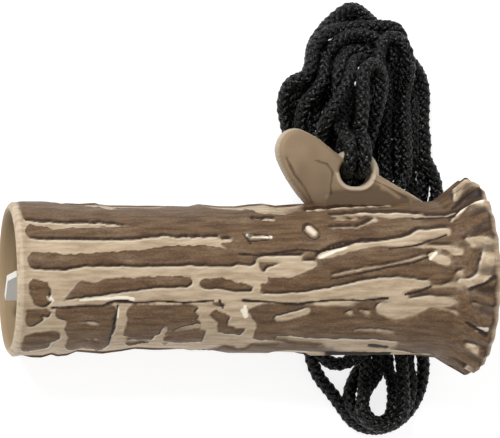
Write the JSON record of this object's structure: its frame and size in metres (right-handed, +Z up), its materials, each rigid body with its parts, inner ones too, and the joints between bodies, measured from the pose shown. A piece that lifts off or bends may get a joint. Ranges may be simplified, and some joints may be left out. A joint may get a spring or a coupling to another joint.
{
  "type": "grunt tube call",
  "caption": "Antler-shaped moulded game call: open tube with a burr, a tine with a cord eye, a pull-out reed mouthpiece and a braided neck lanyard.",
  "frame": {"origin": "on the table, under the middle of the call's box without its lanyard", "axes": "+X from the open end towards the burr, +Y towards the tine, +Z up from the table"},
  "size_m": [0.1238, 0.1136, 0.0515],
  "materials": {
    "shell_plastic": "bark relief, brown wash over tan, satin",
    "mouthpiece_plastic": "fine satin, black",
    "carrier_plastic": "satin white",
    "reed_film": "clear matt film",
    "seal_rubber": "smooth black",
    "wedge_rubber": "matt black",
    "cord_fabric": "braided black polyester cord"
  },
  "bodies": {
    "shell": {"upper_shell": "shell_plastic", "lower_shell": "shell_plastic", "lanyard_coil": "cord_fabric", "lanyard_lead_out": "cord_fabric", "lanyard_lead_in": "cord_fabric", "lanyard_knot": "cord_fabric", "lanyard_hitch": "cord_fabric"},
    "seal_rings": {"front_seal_ring": "seal_rubber", "rear_seal_ring": "seal_rubber"},
    "reed_unit": {"mouthpiece": "mouthpiece_plastic", "reed_carrier": "carrier_plastic", "reed_wedge": "wedge_rubber"},
    "tuning_ring": {"tuning_ring": "seal_rubber"},
    "reed": {"reed": "reed_film"}
  },
  "joints": [
    {"name": "mouthpiece_slide", "type": "slide", "parent": "shell", "child": "seal_rings", "axis": [0.9984, 0, 0.0568], "range_m": [0, 0.03]},
    {"name": "mouthpiece_turn", "type": "hinge", "parent": "seal_rings", "child": "reed_unit", "pos_m": [0.03893, -0.00616, 0.02465], "axis": [0.9984, 0, 0.0568], "continuous": true},
    {"name": "tuning_ring_slide", "type": "slide", "parent": "reed_unit", "child": "tuning_ring", "axis": [0.9984, 0, 0.0568], "range_m": [-0.01, 0.01]},
    {"name": "reed_flex", "type": "hinge", "parent": "reed_unit", "child": "reed", "pos_m": [-0.00184, -0.00979, 0.01948], "axis": [-0.0385, 0.7349, 0.6771], "range_deg": [-1.3, 1.5], "stiffness_Nm_per_rad": 0.01}
  ]
}
